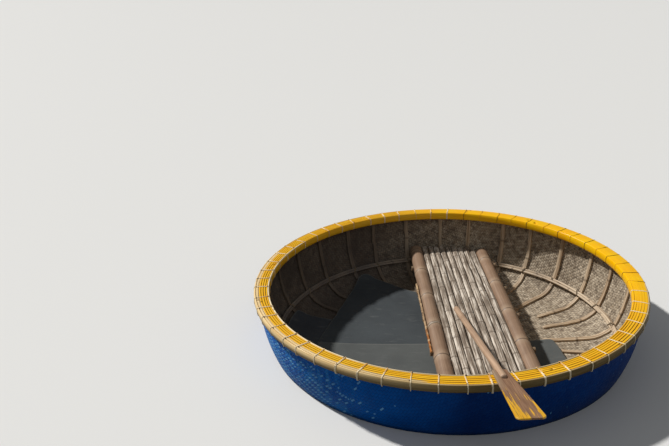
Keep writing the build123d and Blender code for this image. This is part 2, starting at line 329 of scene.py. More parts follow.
def on_wall(line, along, depth, bearing, aside=0.0):
    """Place on the hull: how far along its line, how deep inside its outer face, and on what bearing."""
    tree = tree_of([line])
    found = {0: made(tree, "GeometryNodeObjectInfo", {"Object": line}, "Geometry"), "Length": along}
    found = add_node(tree, "GeometryNodeSampleCurve", found, mode="LENGTH", use_all_curves=True).outputs
    radius, _, height = split_vector(Term(found["Position"]))
    ahead, _, rise = split_vector(Term(found["Tangent"]))
    return round_place(bearing, radius - rise * depth, height + ahead * depth, aside)


def uv_parts(tree, name):
    """The two parts of a UV map that a piece carries."""
    return split_vector(made(tree, "ShaderNodeUVMap", uv_map=name))[:2]


def here(tree):
    """Place of a point on the object, in metres."""
    return made(tree, "ShaderNodeTexCoord", output="Object")


def cloud(vector, scale, detail=3.0, roughness=0.6):
    """Soft random pattern from 0 to 1."""
    pattern = {"Vector": vector, "Scale": scale, "Detail": detail, "Roughness": roughness}
    return made(tree_of([vector]), "ShaderNodeTexNoise", pattern)


def fibres(detail, *parts):
    """Soft random pattern from 0 to 1 over up to three parts, each already stretched."""
    return cloud(join_vector(*parts), 1, detail)


def stretched(place, factors, detail):
    """Soft random pattern from 0 to 1 over a place, stretched by a factor for each axis."""
    scaled = {0: place, 1: factors}
    return cloud(made(tree_of([place]), "ShaderNodeVectorMath", scaled, operation="MULTIPLY"), 1, detail)


def spread(value, low, high, start=0.0, end=1.0):
    """Value between low and high, spread from start to end and held there beyond them."""
    limits = {"Value": value, "From Min": low, "From Max": high, "To Min": start, "To Max": end}
    return made(tree_of([value]), "ShaderNodeMapRange", limits)


def chance(*parts):
    """Random number from 0 to 1 for each value of the parts."""
    source = {"Vector": join_vector(*parts)}
    return made(tree_of(parts), "ShaderNodeTexWhiteNoise", source, noise_dimensions="3D")


def between(share, first, second):
    """Number between two others."""
    return made(tree_of([share]), "ShaderNodeMix", {0: share, 2: first, 3: second}, data_type="FLOAT")


def split_tone(along, across, pitch, runs_along):
    """Random number that stays the same down the length of each woven split."""
    return between(runs_along, chance(whole(along / pitch), 7, 0), chance(whole(across / pitch), 3, 0))


def round_the_boat(tree):
    """Bearing, distance from the middle and height of a point on the object."""
    x, y, height = split_vector(here(tree))
    return bearing_of(y, x), square_root(x * x + y * y), height


def facing(turn, bearing, low, high):
    """Share from 0 to 1 of how near a bearing is to this one, low and high being its cosines."""
    return spread(cosine(turn - bearing), low, high)


def painted_weave():
    """Blue paint over the weave, dirty near the water. Its sunny side has painted sunlight: a lighter
    blue, a painted sheen and pale dashes that are painted glints; a few dashes elsewhere are rubbed
    paint.
    """
    material, tree = new_material("blue painted weave", 0.5, {"Specular IOR Level": 0.06})
    along, across = uv_parts(tree, "weave")
    relief, runs_along = twill(along, across, split_pitch, 4)
    tone = split_tone(along, across, split_pitch, runs_along)
    turn, _, height = round_the_boat(tree)
    place = here(tree)
    broad = cloud(place, 3.2, 4)
    patch = cloud(place, 11, 3)
    fine = cloud(place, 60, 3)
    blue = tint(spread(tone, 0, 1, 0.2, 0.8), (3, 50, 120), (8, 70, 146))
    blue = tint(spread(broad, 0.42, 0.7, 0, 0.7), blue, (3, 40, 98))
    # Painted sunlight: the blue is lighter in patches on the hull's sunny side.
    painted_sunlight = facing(turn, sunny_bearing, 0.55, 0.9) * spread(patch, 0.3, 0.6, 0.55, 1)
    blue = tint(painted_sunlight, blue, (2, 108, 206))
    # Painted sheen: pale blue streaks over the sunniest part of the hull.
    painted_sheen = stretched(place, (26, 26, 9), 3)
    painted_sheen = spread(painted_sheen, 0.5, 0.6) * facing(turn, sunny_bearing, 0.84, 0.97)
    blue = tint(painted_sheen * 0.5, blue, (60, 158, 236))
    blue = tint(spread(relief, 0.35, 0.0, 0, 0.55), blue, (3, 34, 84))
    column = whole(along / split_pitch)
    run = across / split_pitch + column
    luck = chance(whole(run * 0.25 - 0.25), column, 2)
    # Pale dashes on the floats: painted glints of the sun on the sunny side, and a few rubbed spots
    # elsewhere.
    sunny = facing(turn, sunny_bearing, 0.86, 0.97)
    glints_and_rubbing = sunny * spread(patch, 0.36, 0.52, 0.15, 0.95) * spread(height, 0.28, 0.15, 0.15, 1)
    glints_and_rubbing = glints_and_rubbing + spread(patch, 0.56, 0.7) * 0.16
    beside = abs(fract(along / split_pitch) * 2 - 1)
    wave = cosine((run - 3) * (math.pi / 2))
    dash = spread(beside, 0.8, 0.5) * spread(wave, 0.0, 0.25) * (luck < glints_and_rubbing)
    blue = tint(dash * spread(fine, 0.3, 0.6, 0.5, 0.95), blue, (130, 196, 244))
    wet = spread(fine * 0.03 + height, 0.045, 0.018)
    blue = tint(wet * 0.7, blue, (5, 24, 46))
    grime = spread(height, 0.01, -0.05) * spread(broad, 0.35, 0.65, 0.4, 0.9)
    blue = tint(grime, blue, (36, 44, 36))
    rough = spread(fine, 0.3, 0.7, 0.42, 0.62)
    return coat(material, blue, fine * 0.25 + relief, 0.0011, dash * 0.2 + rough)


painted_shade_bearing = math.radians(178)


def with_painted_shade(bare, shade_tone):
    """Bare bamboo with painted shade: darker in broad patches on the left side of the well, away from
    the key lamp.
    """
    tree = tree_of([bare])
    turn, _, _ = round_the_boat(tree)
    broad = cloud(here(tree), 4, 3)
    share = facing(turn, painted_shade_bearing, -0.35, 0.5) * spread(broad, 0.25, 0.6, 0.7, 0.92)
    return tint(share, bare, shade_tone)


def bare_weave():
    """Bare bamboo weave, straw-grey with age, with darker gaps, mottled dust and painted shade on the
    left side of the well.
    """
    material, tree = new_material("bare woven bamboo", 0.8)
    along, across = uv_parts(tree, "weave")
    relief, runs_along = twill(along, across, split_pitch, 4)
    tone = split_tone(along, across, split_pitch, runs_along)
    long_way, cross_way = between(runs_along, across, along), between(runs_along, along, across)
    grain = fibres(3, long_way * 20, cross_way * 500)
    place = here(tree)
    broad = cloud(place, 2.6, 5)
    mottle = cloud(place, 30, 5, 0.7)
    bare = tint(tone, (142, 124, 100), (198, 182, 158))
    bare = tint(spread(grain, 0.35, 0.7, 0, 0.45), bare, (214, 200, 178))
    bare = tint(spread(mottle, 0.48, 0.6, 0, 0.75), bare, (98, 82, 65))
    bare = tint(spread(broad, 0.5, 0.75, 0, 0.5), bare, (120, 104, 84))
    bare = tint(spread(relief, 0.4, 0.05, 0, 0.7), bare, (62, 50, 40))
    # Painted shade on the left side of the well.
    bare = with_painted_shade(bare, (66, 56, 49))
    return coat(material, bare, grain * 0.15 + relief, 0.0018)


tree, given = new_tree(
    "Woven hull",
    Float="Cell, Lumps, Wall, Edge, Turn",
    Int="Cells",
    Object="Wall line",
    Material="Outside, Inside",
)
size = given["Cell"] * given["Cells"]
count = given["Cells"] + 1
grid = {"Size X": size, "Size Y": size, "Vertices X": count, "Vertices Y": count}
flat = made(tree, "GeometryNodeMeshGrid", grid)
spot = made(tree, "GeometryNodeInputPosition")
along, across, _ = split_vector(spot)
reach = made(tree, "ShaderNodeVectorMath", {0: spot}, "Value", operation="LENGTH")
beyond = {"Geometry": flat, "Selection": reach > given["Edge"]}
flat = store_map(made(tree, "GeometryNodeDeleteGeometry", beyond, domain="FACE"), "weave", spot)
bearing = bearing_of(across, along) + given["Turn"]
skins = tree.nodes.new("GeometryNodeJoinGeometry")
for outside in (True, False):
    uneven = cloud(spot, 4.5 if outside else 6.5, 1) + cloud(spot, 17, 1)
    sunk = uneven * 0.5 * given["Lumps"] + 0.0002
    depth = sunk if outside else given["Wall"] - sunk
    place = on_wall(given["Wall line"], smaller(reach, given["Edge"]), depth, bearing)
    skin = made(tree, "GeometryNodeSetPosition", {"Geometry": flat, "Position": place})
    if outside:
        skin = made(tree, "GeometryNodeFlipFaces", {"Mesh": skin})
    finish = given["Outside"] if outside else given["Inside"]
    skin = made(tree, "GeometryNodeSetMaterial", {"Geometry": skin, "Material": finish})
    tree.links.new(skin.socket, skins.inputs[0])
smooth = made(tree, "GeometryNodeSetShadeSmooth", {"Geometry": Term(skins.outputs[0])})
add_node(tree, "NodeGroupOutput", {0: smooth})

outer_line = wall_line()
wall_steps = np.hypot(*np.diff(outer_line, axis=0).T)
wall_length = wall_steps.sum()
wall_guide = curve_of("wall guide", [(radius, 0, height) for radius, height in outer_line])
hull = grow(
    "hull_weave",
    tree,
    Cell=split_pitch,
    Cells=2 * math.ceil(wall_length / split_pitch + 1),
    Lumps=wall_lumps,
    Wall=hull_wall,
    Edge=float(wall_length),
    Turn=weave_turn,
    Wall_line=wall_guide,
    Outside=painted_weave(),
    Inside=bare_weave(),
)
shell = bmesh.new()
shell.from_mesh(hull.data)
shell.verts.ensure_lookup_table()
half = len(shell.verts) // 2
for edge in [e for e in shell.edges if e.is_boundary]:
    first = edge.link_loops[0].vert
    second = edge.other_vert(first)
    if first.index < half:
        pair = (second, first, shell.verts[first.index + half], shell.verts[second.index + half])
        shell.faces.new(pair)
shell.to_mesh(hull.data)
shell.free()
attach(hull, "root")
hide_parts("hull")


# Ribs: flat bamboo splits bent down the wall and over the bottom, skin side in,
# lashed at the rim and at the waist hoop. Each is cut by eye, so no two are alike.
def solids_of(node):
    """Points of each separate solid of a CAD node, from left to right."""
    copy = bmesh.new()
    copy.from_mesh(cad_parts[node].data)
    bmesh.ops.remove_doubles(copy, verts=copy.verts, dist=1e-5)
    left = set(copy.verts)
    solids = []
    while left:
        reached = [left.pop()]
        found = []
        while reached:
            vert = reached.pop()
            found.append(vert.co[:])
            for edge in vert.link_edges:
                other = edge.other_vert(vert)
                if other in left:
                    left.remove(other)
                    reached.append(other)
        solids.append(np.array(found))
    copy.free()
    return sorted(solids, key=lambda found: tuple(found.min(axis=0)))


def copies_of(tree, given, shape=None, **turned):
    """Real copies of a shape, or of the blank, at the given points, and the parts of their places."""
    shape = shape or made(tree, "GeometryNodeObjectInfo", {"Object": given["Blank"]}, "Geometry")
    copies = {"Points": given["Geometry"], "Instance": shape, **turned}
    copies = made(tree, "GeometryNodeInstanceOnPoints", copies)
    copies = made(tree, "GeometryNodeRealizeInstances", {"Geometry": copies})
    return copies, *split_vector(made(tree, "GeometryNodeInputPosition"))


def named(tree, columns):
    """Numbers that each point carries under the columns' names."""
    kind = "GeometryNodeInputNamedAttribute"
    labels = [{"Name": column} for column in columns.split()]
    return [made(tree, kind, label, "Attribute", data_type="FLOAT") for label in labels]


def end_tree(tree, given, shape, position=None, inside_out=True):
    """Last nodes of a tree: points moved, faces turned right side out again, and the material."""
    if position:
        shape = made(tree, "GeometryNodeSetPosition", {"Geometry": shape, "Position": position})
        shape = made(tree, "GeometryNodeSetShadeSmooth", {"Geometry": shape})
    shape = made(tree, "GeometryNodeRealizeInstances", {"Geometry": shape})
    if inside_out:
        shape = made(tree, "GeometryNodeFlipFaces", {"Mesh": shape})
    shape = made(tree, "GeometryNodeSetMaterial", {"Geometry": shape, "Material": given["Material"]})
    add_node(tree, "NodeGroupOutput", {0: shape})


def bamboo(name, light, dark, darkening, shade_tone, roughness, ring_every=0.34):
    """Bare split bamboo: long fibres, darker nodes, stains of age, and painted shade on the left side of
    the well.
    """
    material, tree = new_material(name, roughness)
    along, across = uv_parts(tree, "grain")
    tone = chance(whole(across / 0.5), 5, 0)
    fibre = fibres(3, along * 9, across * 520)
    streak = fibres(4, along * 2.2, across * 90)
    broad = cloud(here(tree), 5, 4)
    bare = tint(spread(streak, 0.4, 0.6), dark, light)
    bare = tint(spread(fibre, 0.4, 0.75, 0, 0.45), bare, light)
    bare = tint(spread(tone, 0, 1, 0, 0.35), bare, dark)
    bare = tint(spread(broad, 0.5, 0.72, 0, 0.5), bare, darkening)
    from_node = abs(fract((tone * 0.7 + along) / ring_every) - 0.5)
    ring = spread(from_node, 0.012, 0.028, 1, 0)
    bare = tint(ring * 0.55, bare, darkening)
    # Painted shade on the left side of the well.
    return coat(material, with_painted_shade(bare, shade_tone), fibre * 0.25 + ring, 0.0012)


def skin_over(shape, rows):
    """Closed skin over rows of corners, one ring after another."""
    for row, ahead in zip(rows, rows[1:]):
        for n in range(len(row)):
            after = (n + 1) % len(row)
            shape.faces.new((row[n], ahead[n], ahead[after], row[after]))
    shape.faces.new(rows[0])
    shape.faces.new(rows[-1][::-1])


def blank_of(name, section, stations):
    """Closed strip one unit long, with this section across it."""
    strip = bmesh.new()
    skin_over(strip, [[strip.verts.new((x, y, z)) for y, z in section] for x in stations])
    bmesh.ops.recalc_face_normals(strip, faces=strip.faces)
    return placed(name, strip)


def split_blank(name, width, height, rounding, stations):
    """Closed strip one unit long, a rounded rectangle with spare points that keep its top flat."""
    section, spare_shares = [], (0.88, 0.5, 0, -0.5, -0.88)
    for corner_x, corner_z, start in ((1, 1, 0), (-1, 1, 90), (-1, -1, 180), (1, -1, 270)):
        for turn in (start, start + 45, start + 90):
            lean = math.radians(turn)
            out = corner_x * (width / 2 - rounding) + rounding * math.cos(lean)
            section.append((out, corner_z * (height / 2 - rounding) + rounding * math.sin(lean)))
        if start == 0:
            section += [(share * (width / 2 - rounding), height / 2) for share in spare_shares]
    return blank_of(name, section, stations)


touching_gap = 0.0003
rib_thickness = 0.011
rib_face = hull_wall + touching_gap
rib_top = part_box("ribs")[1].z
heights = np.concatenate([[0], np.cumsum(wall_steps)])
rising = slice(bottom_steps, None)
rib_top_along = float(np.interp(rib_top, outer_line[rising, 1], heights[rising]))
rib_columns = "number bearing width length"

tree, given = new_tree("Ribs", Object="Blank, Wall line", Float="Top, Face", Material="Material")
bent, run, cross, deep = copies_of(tree, given)
number, bearing, width, length = named(tree, rib_columns)
waver = fibres(2, run * 7, number * 3.7) - 0.5
width = width * (waver * 0.35 + 1) * spread(run, 0.985, 1, 1, 0.55)
aside = cross * width + waver * 0.02
depth = deep + given["Face"] - abs(cross * 2) ** 2 * 0.0008
along = given["Top"] - run * length
bent = store_map(bent, "grain", join_vector(along, number * 0.5 + 0.25 + aside))
end_tree(tree, given, bent, on_wall(given["Wall line"], along, depth, bearing, aside))

rib_rows = []
for number, points in enumerate(solids_of("ribs")):
    middle = points.mean(axis=0)
    bearing = math.atan2(middle[1], middle[0])
    ahead = points[:, 0] * math.cos(bearing) + points[:, 1] * math.sin(bearing)
    aside = points[:, 1] * math.cos(bearing) - points[:, 0] * math.sin(bearing)
    rib_rows.append((number, bearing, aside.max() - aside.min(), rib_top_along - ahead.min()))
rib_blank = split_blank("rib blank", 1, rib_thickness, 0.0012, np.linspace(0, 1, 64))
ribs = grow(
    "rib_splits",
    tree,
    rib_rows,
    rib_columns,
    Blank=rib_blank,
    Wall_line=wall_guide,
    Top=rib_top_along,
    Face=rib_face + rib_thickness / 2,
    # Its fourth colour is the painted shade on the left side of the well.
    Material=bamboo("rib bamboo", (216, 194, 164), (146, 118, 88), (92, 76, 60), (78, 68, 60), 0.62),
)
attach(ribs, "root")
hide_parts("ribs")


# Waist hoop: long splits bent round the turn of the bilge and lapped on the right, where
# their ends are broken off. They press the ribs to the wall, tied at every rib with thin
# cord that goes through the weave.
def recoat(node, material):
    """Give a CAD node this material and no other."""
    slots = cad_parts[node].data.materials
    slots.clear()
    slots.append(material)


waist_height = -0.014
waist_inset = rib_face + rib_thickness
waist_thickness = 0.0105
waist_width = 0.0345
waist_middle = float(np.interp(waist_height, wall_line(waist_inset)[rising, 1], heights[rising]))
waist_columns = "number start sweep along width depth taper"

tree, given = new_tree("Waist splits", Object="Blank, Wall line", Float="Waver", Material="Material")
bent, run, cross, deep = copies_of(tree, given)
number, start, sweep, along, width, depth, taper = named(tree, waist_columns)
turn = run * sweep + start
wander = (fibres(2, turn * 6, number * 4.1) - 0.5) * given["Waver"]
tip = smaller(smaller(run, 1 - run) * sweep / taper, 1)
slim = tip * 0.75 + 0.25
ragged = (fibres(2, turn * 60, cross * 9, number) - 0.5) * (1 - tip)
offset = cross * width * slim + ragged * 0.014
domed = abs(cross * 2) ** 2 * 0.0022 * (deep > 0)
depth = deep * slim + depth - domed
bent = store_map(bent, "grain", join_vector(turn, number * 0.5 + 0.25 + offset))
end_tree(tree, given, bent, on_wall(given["Wall line"], offset + wander + along, depth, turn))

first_depth = waist_inset + touching_gap + waist_thickness / 2
second_depth = first_depth + waist_thickness + touching_gap
# Columns: number, start and sweep in degrees, place across the hoop, width, depth, taper in degrees
waist_rows = [
    (0, 96, 358.6, -0.0082, 0.0155, first_depth, 0.05),
    (1, 214, 358.9, 0.0082, 0.0160, first_depth, 0.05),
    (2, -7, 47, -0.0085, 0.0150, second_depth, 5.0),
    (3, -4, 37, 0.0080, 0.0160, second_depth, 3.5),
]
rows = []
for number, start, sweep, place, width, depth, taper in waist_rows:
    start, sweep, taper = math.radians(start), math.radians(sweep), math.radians(taper)
    rows.append((number, start, sweep, waist_middle + place, width, depth, taper))
waist_blank = split_blank("waist blank", 1, waist_thickness, 0.003, np.linspace(0, 1, 300))
waist = grow(
    "waist_splits",
    tree,
    rows,
    waist_columns,
    Blank=waist_blank,
    Wall_line=wall_guide,
    Waver=0.004,
    # Its fourth colour is the painted shade on the left side of the well.
    Material=bamboo(
        "waist bamboo", (226, 206, 178), (174, 150, 122), (108, 92, 76), (92, 84, 80), 0.6, 0.36
    ),
)
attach(waist, "root")
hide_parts("waist_hoop")


paint_full, paint_gone = 1.052, 1.059


def tying_cord(name, light, dark, paint=None):
    """Twisted thin cord, dulled by water, and painted over on the inner side where its map says so."""
    material, tree = new_material(name, 0.7)
    strand = cloud(here(tree), 260, 2)
    broad = cloud(here(tree), 7, 3)
    shade = tint(spread(strand, 0.35, 0.65), dark, light)
    shade = tint(spread(broad, 0.5, 0.7, 0, 0.5), shade, dark)
    if paint:
        painted, reach = uv_parts(tree, "cord")
        shade = tint(painted * spread(reach, paint_full, paint_gone, 1, 0), shade, paint)
    return coat(material, shade, strand, 0.0008)


def soft_loop(wide, high, corner_steps, corner_radius):
    """Upright rectangle with round corners, for a cord to follow."""
    tree = tree_of([wide])
    loop = made(tree, "GeometryNodeCurvePrimitiveQuadrilateral", {"Width": wide, "Height": high})
    loop = {"Curve": loop, "Count": corner_steps, "Radius": corner_radius}
    return made(tree, "GeometryNodeFilletCurve", loop, mode="POLY")


def cord_round(loop, cord):
    """Cord this thick that follows a loop."""
    tree = tree_of([loop])
    ring = made(tree, "GeometryNodeCurvePrimitiveCircle", {"Resolution": 6, "Radius": cord * 0.5})
    return made(tree, "GeometryNodeCurveToMesh", {"Curve": loop, "Profile Curve": ring})


waist_cord = 0.003
lap_from, lap_to = -0.1, 0.55
tie_columns = "bearing slide lean"
tree, given = new_tree(
    "Waist ties", Float="Wide, High, Along, Depth, Cord", Object="Wall line", Material="Material"
)
loop = soft_loop(given["Wide"], given["High"], 2, 0.004)
ties, cross, deep, aside = copies_of(tree, given, cord_round(loop, given["Cord"]))
bearing, slide, lean = named(tree, tie_columns)
aside = aside + slide + cross * lean
place = on_wall(given["Wall line"], cross + given["Along"], deep + given["Depth"], bearing, aside)
end_tree(tree, given, ties, place)

rng = np.random.default_rng(3)
single_rows, lapped_rows = [], []
for row in rib_rows:
    bearing = row[1]
    lapped = lap_from < bearing < lap_to
    lean = rng.choice([-0.45, 0.45]) * rng.uniform(0.6, 1.1)
    for turn in (-1, 0, 1):
        slide = turn * waist_cord * 1.05
        (lapped_rows if lapped else single_rows).append((bearing, slide, lean + turn * 0.04))
waist_cord_finish = tying_cord("waist cord", (160, 142, 114), (98, 82, 62))
for name, rows, layers in (("waist_ties", single_rows, 1), ("lap_ties", lapped_rows, 2)):
    high = layers * (waist_thickness + touching_gap) + waist_cord
    tie = grow(
        name,
        tree,
        rows,
        tie_columns,
        Wide=waist_width + waist_cord,
        High=high,
        Along=waist_middle,
        Depth=waist_inset + touching_gap + high / 2 - waist_cord / 2,
        Cord=waist_cord,
        Wall_line=wall_guide,
        Material=waist_cord_finish,
    )
    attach(tie, "root")


# Rim hoops: a tall split of bamboo inside the hull's edge and three lengths outside it, bowed on their
# skin side. The inner one is painted yellow, and the outer one is bare but for the far right: cream,
# with painted shade low down on its face, and olive on the near right, partly weathering and partly
# painted shade.
rim_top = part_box("rim_cap")[1].z
thick_paint_bearing = math.radians(32)
paint_thins, paint_thickens = 0.35, 0.75
worn_bearing = math.radians(225)
olive_shade_bearing = math.radians(-58)


def reach_of(node):
    """Inner radius, outer radius, bottom and top of a CAD ring."""
    points = np.array([v.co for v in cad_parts[node].data.vertices])
    radii = np.hypot(points[:, 0], points[:, 1])
    return float(radii.min()), float(radii.max()), float(points[:, 2].min()), float(points[:, 2].max())


def bowed_blank(name, thickness, height, bow, skin_side, rounding, stations):
    """Closed strip one unit long, flat on one side and bowed on its skin side, with round top edges."""
    half, back = height / 2, thickness / 2
    section = [(-back, -half)]
    for share in (-1, -0.66, -0.33, 0, 0.33, 0.66):
        section.append((back - bow * share**2, share * half))
    for centre, turns in ((back - bow - rounding, (0, 45, 90)), (rounding - back, (90, 135, 180))):
        for turn in turns:
            lean = math.radians(turn)
            rise = half - rounding + rounding * math.sin(lean)
            section.append((centre + rounding * math.cos(lean), rise))
    section = [(skin_side * x, z) for x, z in section]
    return blank_of(name, section, stations)


def rim_paint(name, shine, bare_light, bare_dark, off_share, edge_grime=0.0):
    """Yellow gloss paint on the rim: thick on the far right, thin elsewhere, and gone by off_share.
    Where it is gone, the bare bamboo has painted shade low down on its face, and olive with painted
    shade on the near right.
    """
    gloss = {"Coat Weight": 0.1, "Coat Roughness": 0.15, "Specular IOR Level": 0.22}
    material, tree = new_material(name, shine, gloss)
    along, across = uv_parts(tree, "grain")
    turn, reach, height = round_the_boat(tree)
    thick = facing(turn, thick_paint_bearing, paint_thins, paint_thickens)
    thin = 1 - thick
    streak = fibres(4, along * 5, across * 170)
    hair = fibres(2, along * 9, across * 420)
    broad = cloud(here(tree), 6, 4)
    thin_paint = tint(spread(streak, 0.3, 0.72), (236, 164, 14), (255, 206, 40))
    thin_paint = tint(spread(hair, 0.62, 0.76, 0, 0.25), thin_paint, (176, 112, 14))
    thick_paint = tint(spread(broad, 0.35, 0.7), (255, 186, 0), (255, 204, 2))
    paint = tint(thick, thin_paint, thick_paint)
    if edge_grime:
        side, _ = uv_parts(tree, "edge")
        edge = spread(abs(side), 0.34, 0.49) * spread(broad, 0.3, 0.6, 0.35, 1)
        paint = tint(edge * thin * edge_grime, paint, (132, 78, 10))
    bare = tint(spread(streak, 0.32, 0.68), bare_dark, bare_light)
    bare = tint(spread(hair, 0.55, 0.75, 0, 0.35), bare, bare_dark)
    worn = broad * 0.5 + streak * 0.5 + off_share(turn, reach, height)
    worn = spread(worn, 0.93, 1.03)
    # Painted shade: the bare face is darker towards its bottom edge.
    darkening = spread(height, rim_top - 0.014, rim_top - 0.031) * 0.85
    darkening = darkening * spread(streak, 0.25, 0.6, 0.35, 1)
    # Olive on the near right, more of it lower down: partly weathered bamboo and partly painted shade,
    # for that face lies in shade.
    olive_and_shade = facing(turn, olive_shade_bearing, 0.35, 0.85)
    olive_and_shade = olive_and_shade * spread(height, rim_top - 0.001, rim_top - 0.004, 0.5, 1)
    bare = tint(darkening, bare, (86, 64, 36))
    bare = tint(olive_and_shade * spread(streak, 0.2, 0.6, 0.7, 0.97), bare, (98, 80, 38))
    rough = worn * 0.22 + (thin * 0.16 + shine)
    return coat(material, tint(worn, paint, bare), streak * between(thick, 0.7, 0.2), 0.001, rough)


def inner_hoop_bare(turn, reach, height):
    """The inner hoop's top edge has lost its paint along the near left."""
    return spread(height, rim_top - 0.008, rim_top - 0.004) * facing(turn, worn_bearing, 0.0, 0.5)


def outer_hoop_bare(turn, reach, height):
    """The outer hoop is bare but for the far right."""
    return facing(turn, thick_paint_bearing + math.radians(196), -0.74, -0.25)


hoop_columns = "number start sweep radius level width side"
tree, given = new_tree(
    "Rim splits",
    Object="Blank",
    Float="Waver, Middle, Reach, Top, Fill turn, Fill gap, Crown",
    Material="Material",
)
bent, run, cross, rise = copies_of(tree, given)
number, start, sweep, radius, level, width, side = named(tree, hoop_columns)
turn = run * sweep + start
wavers = [(fibres(2, turn * 5, number * salt, salt) - 0.5) * given["Waver"] for salt in (1.7, 9.2, 15.4)]
filled = facing(turn, given["Fill turn"], paint_thins, paint_thickens)
offset = cross * ((filled * given["Fill gap"] + width) * (wavers[2] * 60 + 1))
reach = offset + radius + wavers[0]
level = rise + level + wavers[1]
inward = cross * side > -0.0001
lifted = filled * (rise > 0.001) * inward * 0.93
level = lifted * (given["Top"] - level) + level
out = (reach - given["Middle"]) / given["Reach"]
crown = (1 - out * out) * given["Crown"] * spread(rise, 0.001, 0.005)
level = filled * crown + level
bent = store_map(bent, "grain", join_vector(turn, number * 0.5 + 0.25 + offset + rise))
bent = store_map(bent, "edge", join_vector(cross, number))
end_tree(tree, given, bent, round_place(turn, reach, level))
rim_tree = tree

rim_inside, rim_outside = reach_of("rim_inner_hoop")[0], reach_of("rim_outer_hoop")[1]
rim_crown = 0.0028
rim_shape = {
    "Middle": (rim_inside + rim_outside) / 2,
    "Reach": (rim_outside - rim_inside) / 2,
    "Top": rim_top,
    "Fill_turn": thick_paint_bearing,
    "Crown": rim_crown,
}
hoop_bow = 0.004
hoop_rounding = 0.003
joint_gap = 0.0006
hoop_joints = [math.radians(turn) for turn in (59.5, 179.5, 299.5)]
inner_hoop_finish = rim_paint(
    "inner hoop paint", 0.3, (255, 240, 205), (236, 206, 150), inner_hoop_bare
)
outer_hoop_finish = rim_paint(
    "outer hoop paint", 0.42, (255, 228, 172), (224, 186, 126), outer_hoop_bare
)
for name, node, starts, skin_side, finish, slot in (
    ("inner_hoop_split", "rim_inner_hoop", [math.radians(200)], -1, inner_hoop_finish, "yellow_bamboo"),
    ("outer_hoop_splits", "rim_outer_hoop", hoop_joints, 1, outer_hoop_finish, "weathered_bamboo"),
):
    inner, outer, low, high = reach_of(node)
    sweep = 2 * math.pi / len(starts)
    stations = np.linspace(0, 1, 240 // len(starts))
    hoop_blank = bowed_blank(
        name + " blank", outer - inner, high - low, hoop_bow, skin_side, hoop_rounding, stations
    )
    middle, level = (inner + outer) / 2, (low + high) / 2
    rows = [
        (number, start, sweep - joint_gap, middle, level, 1, -skin_side)
        for number, start in enumerate(starts)
    ]
    shape = {"Blank": hoop_blank, "Waver": 0.001, "Fill_gap": 0.0, **rim_shape}
    hoop = grow(name, rim_tree, rows, hoop_columns, Material=finish, **shape)
    bpy.data.objects.remove(hoop_blank)
    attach(hoop, "root")
    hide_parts(node)


# Rim cap: flat splits laid side by side over the hull's edge and its packing, thin ones
# inside and broad ones outside. Paint has closed the gaps between them on the far right,
# and elsewhere they show as brown lines.
bare_from, bare_beyond = 1.0685, 1.0705


def cap_bare(turn, reach, height):
    """The cap's outermost split has lost its paint along the near left."""
    return spread(reach, bare_from, bare_beyond) * facing(turn, worn_bearing - 0.3, 0.5, 0.8)


def packing_bamboo(name, light, dark, darkening):
    """Rough splits bundled round the boat, stained by paint that has run between them, and darker on the
    near right, where a shadow is painted on.
    """
    material, tree = new_material(name, 0.7)
    turn, reach, height = round_the_boat(tree)
    # Painted shadow: the packing is darker on the near right, seen through the gaps between the cap's
    # splits.
    near_right_painted_shadow = facing(turn, math.radians(-28), 0.3, 0.8)
    streak = fibres(4, turn * 3, reach * 110, height * 110)
    broad = cloud(here(tree), 9, 4)
    bare = tint(spread(streak, 0.32, 0.68), dark, light)
    bare = tint(larger(spread(broad, 0.46, 0.62), near_right_painted_shadow), bare, darkening)
    return coat(material, bare, streak, 0.002)


recoat("rim_filler", packing_bamboo("packing bamboo", (196, 138, 24), (140, 90, 18), (92, 58, 18)))
cap_inner, cap_outer, cap_low, cap_high = reach_of("rim_cap")
cap_shares = [0.85, 1.0, 1.05, 1.1, 1.15]
cap_gap = 0.0032
cap_lengths = 3
cap_sweep = 2 * math.pi / cap_lengths
rng = np.random.default_rng(11)
rows = []
start_radius = cap_inner
for number, share in enumerate(cap_shares):
    width = (cap_outer - cap_inner) * share / sum(cap_shares)
    middle = start_radius + width / 2
    first = rng.uniform(0, 2 * math.pi)
    for length in range(cap_lengths):
        sweep = cap_sweep - rng.uniform(0.002, 0.006)
        level = (cap_low + cap_high) / 2 + rng.uniform(-0.0014, 0.0)
        start = first + length * cap_sweep
        rows.append((number * cap_lengths + length, start, sweep, middle, level, width - cap_gap, 0))
    start_radius += width
cap_blank = split_blank("cap blank", 1, cap_high - cap_low, 0.0022, np.linspace(0, 1, 110))
cap = grow(
    "cap_splits",
    rim_tree,
    rows,
    hoop_columns,
    Blank=cap_blank,
    Waver=0.0022,
    Fill_gap=cap_gap + 0.0014,
    Material=rim_paint("cap paint", 0.3, (250, 226, 176), (218, 182, 124), cap_bare, 0.6),
    **rim_shape,
)
bpy.data.objects.remove(cap_blank)
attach(cap, "root")
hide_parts("rim_cap")


